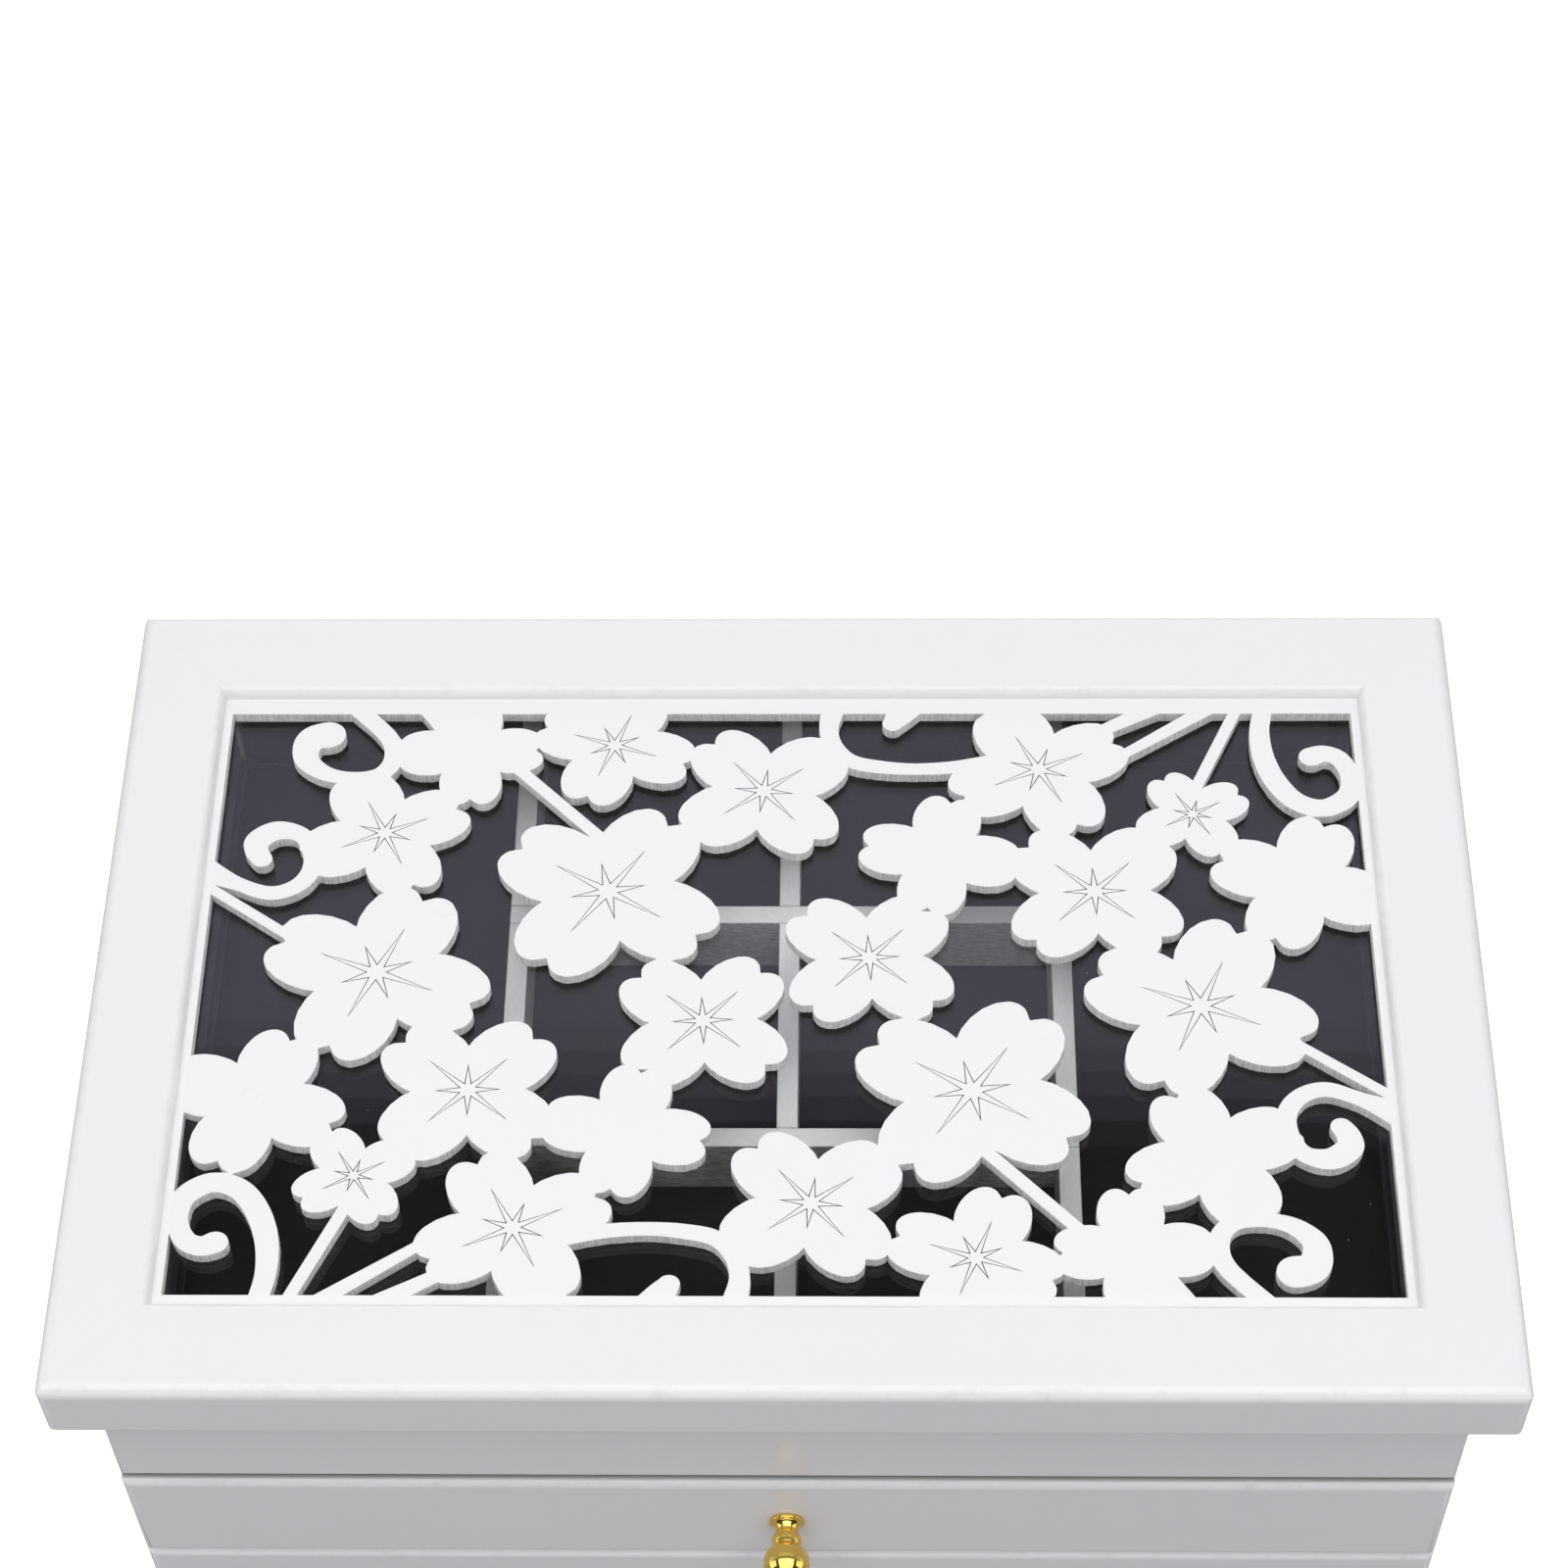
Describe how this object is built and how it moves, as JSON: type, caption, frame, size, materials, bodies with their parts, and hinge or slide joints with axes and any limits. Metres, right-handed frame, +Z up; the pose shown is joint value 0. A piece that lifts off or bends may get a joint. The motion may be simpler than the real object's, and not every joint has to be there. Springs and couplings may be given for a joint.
{
  "type": "jewellery chest with drawers",
  "caption": "White chest with a hinged glass lid under a blossom fretwork panel, a divided tray and stacked drawers with ball knobs.",
  "frame": {"origin": "centre of the footprint box, on the surface it stands on", "axes": "+Z up, -Y towards the drawers' fronts, +X to the right seen from the front"},
  "size_m": [0.32, 0.2262, 0.235],
  "materials": {
    "white_lacquer": "white satin lacquer over wood fibre board",
    "fretwork": "white lacquered face, grey cut edges",
    "inner_wood": "thin white paint over brushed wood",
    "board": "plain hardboard",
    "velvet": "black velvet with a violet cast",
    "glass": "clear float glass",
    "brass": "polished"
  },
  "bodies": {
    "case": {"case_side_left": "white_lacquer", "case_side_right": "white_lacquer", "back_panel": "white_lacquer", "front_band": "white_lacquer", "tray_floor": "board", "tray_lining": "velvet", "divider_left": "inner_wood", "divider_centre": "inner_wood", "divider_right": "inner_wood", "divider_front": "inner_wood", "divider_back": "inner_wood", "base_board": "white_lacquer", "feet": "white_lacquer", "case_leaf_left": "brass", "case_leaf_right": "brass", "hinge_pins": "brass", "case_hinge_screws": "brass", "shelf_1": "board", "shelf_2": "board", "shelf_3": "board", "shelf_4": "board"},
    "lid": {"lid_front_rail": "white_lacquer", "lid_right_rail": "white_lacquer", "lid_back_rail": "white_lacquer", "lid_left_rail": "white_lacquer", "fretwork_panel": "fretwork", "glass_pane": "glass", "glazing_beads": "white_lacquer", "lid_leaf_left": "brass", "lid_leaf_right": "brass", "lid_hinge_screws": "brass"},
    "drawer_1": {"drawer_1_front": "white_lacquer", "drawer_1_side_left": "inner_wood", "drawer_1_side_right": "inner_wood", "drawer_1_back": "inner_wood", "drawer_1_bottom": "board", "drawer_1_lining": "velvet", "drawer_1_knob": "brass"},
    "drawer_2": {"drawer_2_front": "white_lacquer", "drawer_2_side_left": "inner_wood", "drawer_2_side_right": "inner_wood", "drawer_2_back": "inner_wood", "drawer_2_bottom": "board", "drawer_2_lining": "velvet", "drawer_2_knob": "brass"},
    "drawer_3": {"drawer_3_front": "white_lacquer", "drawer_3_side_left": "inner_wood", "drawer_3_side_right": "inner_wood", "drawer_3_back": "inner_wood", "drawer_3_bottom": "board", "drawer_3_lining": "velvet", "drawer_3_knob": "brass"},
    "drawer_4": {"drawer_4_front": "white_lacquer", "drawer_4_side_left": "inner_wood", "drawer_4_side_right": "inner_wood", "drawer_4_back": "inner_wood", "drawer_4_bottom": "board", "drawer_4_lining": "velvet", "drawer_4_knob": "brass"}
  },
  "joints": [
    {"name": "lid_hinge", "type": "hinge", "parent": "case", "child": "lid", "pos_m": [0, 0.11088, 0.217], "axis": [-1, 0, 0], "range_deg": [0, 100]},
    {"name": "drawer_1_slide", "type": "slide", "parent": "case", "child": "drawer_1", "axis": [0, -1, 0], "range_m": [0, 0.14]},
    {"name": "drawer_2_slide", "type": "slide", "parent": "case", "child": "drawer_2", "axis": [0, -1, 0], "range_m": [0, 0.14]},
    {"name": "drawer_3_slide", "type": "slide", "parent": "case", "child": "drawer_3", "axis": [0, -1, 0], "range_m": [0, 0.14]},
    {"name": "drawer_4_slide", "type": "slide", "parent": "case", "child": "drawer_4", "axis": [0, -1, 0], "range_m": [0, 0.14]}
  ]
}
